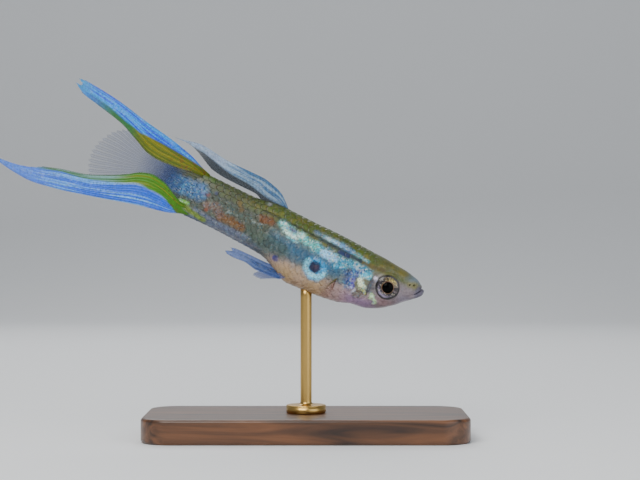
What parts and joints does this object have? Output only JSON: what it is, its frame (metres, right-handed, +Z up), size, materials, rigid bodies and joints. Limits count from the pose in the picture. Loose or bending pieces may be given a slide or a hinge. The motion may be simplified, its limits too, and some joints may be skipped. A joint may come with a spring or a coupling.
{
  "type": "male double-sword guppy fish model",
  "caption": "Life-size still model of a male fancy guppy with a double-sword tail, swimming nose down on a small display stand.",
  "frame": {"origin": "centre of the underside of the stand's base, where it rests on the floor", "axes": "+X towards the fish's head, +Y towards its left side, +Z up, away from the floor; the nose points 22.8 degrees down from +X"},
  "size_m": [0.0506, 0.016, 0.038],
  "materials": {
    "head_skin": "satin, olive crown, pale grey cheek and pink throat",
    "flank_skin": "pearly blue-grey scales with lilac and turquoise glitter",
    "stalk_skin": "olive and copper-orange scales",
    "eye": "wet, black pupil in a silver and gold iris",
    "gill_cover": "glittering green and silver",
    "dorsal_fin": "translucent, pale blue front rays",
    "upper_sword": "translucent sky blue with a yellow inner margin",
    "lower_sword": "translucent lavender blue with a yellow inner margin",
    "tail_fan": "clear membrane between fine rays",
    "small_fin": "translucent lavender",
    "clear_fin": "clear membrane between fine rays",
    "base_wood": "oiled dark wood",
    "rod_brass": "brushed"
  },
  "bodies": {
    "root": {"head": "head_skin", "trunk": "flank_skin", "tail_stalk": "stalk_skin", "eye_right": "eye", "eye_left": "eye", "gill_cover_right": "gill_cover", "gill_cover_left": "gill_cover", "pectoral_fin_right": "clear_fin", "pectoral_fin_left": "clear_fin", "pelvic_fin_right": "small_fin", "pelvic_fin_left": "small_fin", "dorsal_fin": "dorsal_fin", "gonopodium": "small_fin", "tail_sword_upper": "upper_sword", "tail_sword_lower": "lower_sword", "tail_fin": "tail_fan", "stand_base": "base_wood", "stand_rod": "rod_brass"}
  },
  "joints": []
}
